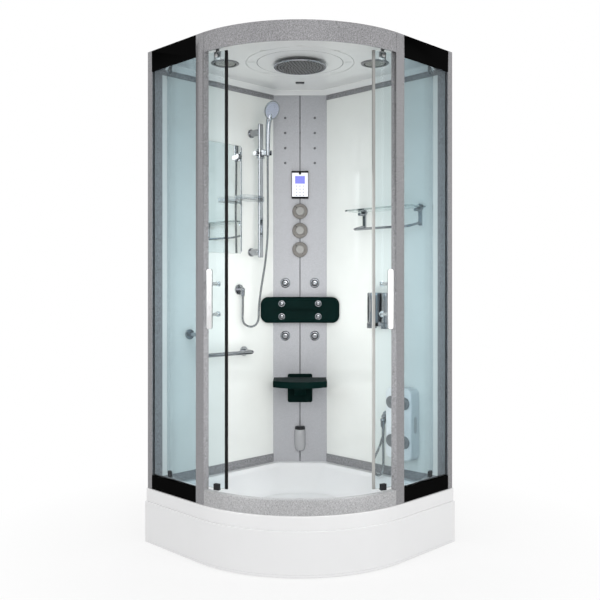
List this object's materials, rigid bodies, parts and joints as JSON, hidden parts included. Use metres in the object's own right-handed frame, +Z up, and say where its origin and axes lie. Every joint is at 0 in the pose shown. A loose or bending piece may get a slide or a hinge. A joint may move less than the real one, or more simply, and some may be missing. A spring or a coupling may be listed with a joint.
{
  "type": "steam shower cabin",
  "caption": "Quadrant steam shower cabin with a white tray, grey frame, two curved sliding glass doors, tinted side glass and a fitted corner column with seat, jets and hand shower.",
  "frame": {"origin": "on the floor, in the middle of the 1 m square that the cabin fits", "axes": "+Z up; the back walls are the planes +X and +Y, and the doors face the direction (-1, -1)"},
  "size_m": [1, 1, 2.24],
  "materials": {
    "white_acrylic": "gloss",
    "white_panel": "gloss",
    "grey_frame": "speckled satin",
    "grey_column": "satin",
    "black_rail": "gloss",
    "steel": "plain",
    "chrome": "polished",
    "plated_plastic": "chrome plated",
    "clear_glass": "clear",
    "tinted_glass": "blue tint",
    "black_rubber": "matt",
    "grey_rubber": "matt",
    "dark_green": "satin",
    "grey_plastic": "satin",
    "dark_plastic": "matt",
    "screen": "gloss",
    "knob_grey": "satin",
    "brass": "plain",
    "mirror": "silvered"
  },
  "bodies": {
    "root": {"back_frames": "grey_frame", "back_panels": "white_panel", "backrest_pad": "dark_green", "bottom_rail": "grey_frame", "ceiling": "white_acrylic", "ceiling_grilles": "grey_plastic", "column_jets": "plated_plastic", "column_panel": "grey_column", "control_box": "dark_plastic", "controller_case": "plated_plastic", "controller_screen": "screen", "dispenser": "plated_plastic", "door_track": "steel", "drain_cover": "grey_plastic", "drain_trap": "dark_plastic", "foot_discs": "grey_plastic", "foot_hose": "chrome", "foot_massager": "white_acrylic", "frame_posts": "grey_frame", "glass_shelf": "clear_glass", "glazing_seals": "black_rubber", "grab_bar": "chrome", "hose_outlets": "chrome", "overhead_shower": "chrome", "seat_bracket": "dark_green", "shower_hose": "chrome", "shower_tray": "white_acrylic", "side_glass": "tinted_glass", "side_rails": "black_rail", "slide_bar": "chrome", "steam_generator": "steel", "steam_outlet": "grey_plastic", "top_header": "grey_frame", "towel_rail": "chrome", "tray_apron": "white_acrylic", "tray_feet": "steel", "tray_frame": "steel", "valve_body": "brass", "wall_mirror": "mirror"},
    "door_right": {"door_glass_right": "clear_glass", "door_seal_right": "grey_rubber", "door_handle_right": "chrome", "door_fittings_right": "steel"},
    "front_roller_right": {"front_roller_right": "dark_plastic"},
    "rear_roller_right": {"rear_roller_right": "dark_plastic"},
    "dispenser_lever_right": {"dispenser_lever_right": "plated_plastic"},
    "door_left": {"door_glass_left": "clear_glass", "door_seal_left": "black_rubber", "door_handle_left": "chrome", "door_fittings_left": "steel"},
    "front_roller_left": {"front_roller_left": "dark_plastic"},
    "rear_roller_left": {"rear_roller_left": "dark_plastic"},
    "dispenser_lever_left": {"dispenser_lever_left": "plated_plastic"},
    "mixer_knob": {"mixer_knob": "knob_grey"},
    "diverter_knob": {"diverter_knob": "knob_grey"},
    "jet_knob": {"jet_knob": "knob_grey"},
    "seat": {"seat_plate": "dark_green"},
    "slider": {"slider": "plated_plastic"},
    "handset": {"handset": "plated_plastic"},
    "soap_dish": {"soap_dish": "plated_plastic"}
  },
  "joints": [
    {"name": "door_right_slide", "type": "hinge", "parent": "root", "child": "door_right", "pos_m": [0.23865, 0.42865, 2.168], "axis": [0, 0, 1], "range_deg": [-21.43, 0]},
    {"name": "door_left_slide", "type": "hinge", "parent": "root", "child": "door_left", "pos_m": [0.42865, 0.23865, 2.168], "axis": [0, 0, 1], "range_deg": [0, 21.43]},
    {"name": "front_roller_right_spin", "type": "hinge", "parent": "door_right", "child": "front_roller_right", "pos_m": [0.05912, -0.456, 2.18205], "axis": [-0.3097, -0.9508, 0], "range_deg": [0, 1748.1]},
    {"name": "front_roller_left_spin", "type": "hinge", "parent": "door_left", "child": "front_roller_left", "pos_m": [-0.456, 0.05912, 2.18205], "axis": [-0.9508, -0.3097, 0], "range_deg": [-1748.1, 0]},
    {"name": "rear_roller_right_spin", "type": "hinge", "parent": "door_right", "child": "rear_roller_right", "pos_m": [0.40605, -0.45776, 2.18205], "axis": [0.3, -0.9539, 0], "range_deg": [0, 1746.2]},
    {"name": "rear_roller_left_spin", "type": "hinge", "parent": "door_left", "child": "rear_roller_left", "pos_m": [-0.45776, 0.40605, 2.18205], "axis": [-0.9539, 0.3, 0], "range_deg": [-1746.2, 0]},
    {"name": "mixer_knob_turn", "type": "hinge", "parent": "root", "child": "mixer_knob", "pos_m": [0.38547, 0.38547, 1.562], "axis": [-0.7071, -0.7071, 0], "range_deg": [-80, 80]},
    {"name": "diverter_knob_turn", "type": "hinge", "parent": "root", "child": "diverter_knob", "pos_m": [0.38547, 0.38547, 1.461], "axis": [-0.7071, -0.7071, 0], "range_deg": [-120, 120]},
    {"name": "jet_knob_turn", "type": "hinge", "parent": "root", "child": "jet_knob", "pos_m": [0.38547, 0.38547, 1.361], "axis": [-0.7071, -0.7071, 0], "range_deg": [-80, 80]},
    {"name": "seat_fold", "type": "hinge", "parent": "root", "child": "seat", "pos_m": [0.35858, 0.35858, 0.683], "axis": [-0.7071, 0.7071, 0], "range_deg": [0, 90]},
    {"name": "slider_slide", "type": "slide", "parent": "root", "child": "slider", "axis": [0, 0, 1], "range_m": [-0.15, 0.055], "deforming": ["shower_hose"]},
    {"name": "handset_tilt", "type": "hinge", "parent": "slider", "child": "handset", "pos_m": [0.133, 0.362, 1.838], "axis": [1, 0, 0], "range_deg": [-12, 18]},
    {"name": "soap_dish_slide", "type": "slide", "parent": "root", "child": "soap_dish", "axis": [0, 0, 1], "range_m": [-0.06, 0.04]},
    {"name": "dispenser_lever_left_push", "type": "slide", "parent": "root", "child": "dispenser_lever_left", "axis": [1, 0, 0], "range_m": [0, 0.005], "stiffness_N_per_m": 600},
    {"name": "dispenser_lever_right_push", "type": "slide", "parent": "root", "child": "dispenser_lever_right", "axis": [1, 0, 0], "range_m": [0, 0.005], "stiffness_N_per_m": 600}
  ],
  "couplings": [
    {"joint": "front_roller_right_spin", "follows": "door_right_slide", "ratio": -81.524},
    {"joint": "front_roller_left_spin", "follows": "door_left_slide", "ratio": -81.524},
    {"joint": "rear_roller_right_spin", "follows": "door_right_slide", "ratio": -81.436},
    {"joint": "rear_roller_left_spin", "follows": "door_left_slide", "ratio": -81.436}
  ]
}
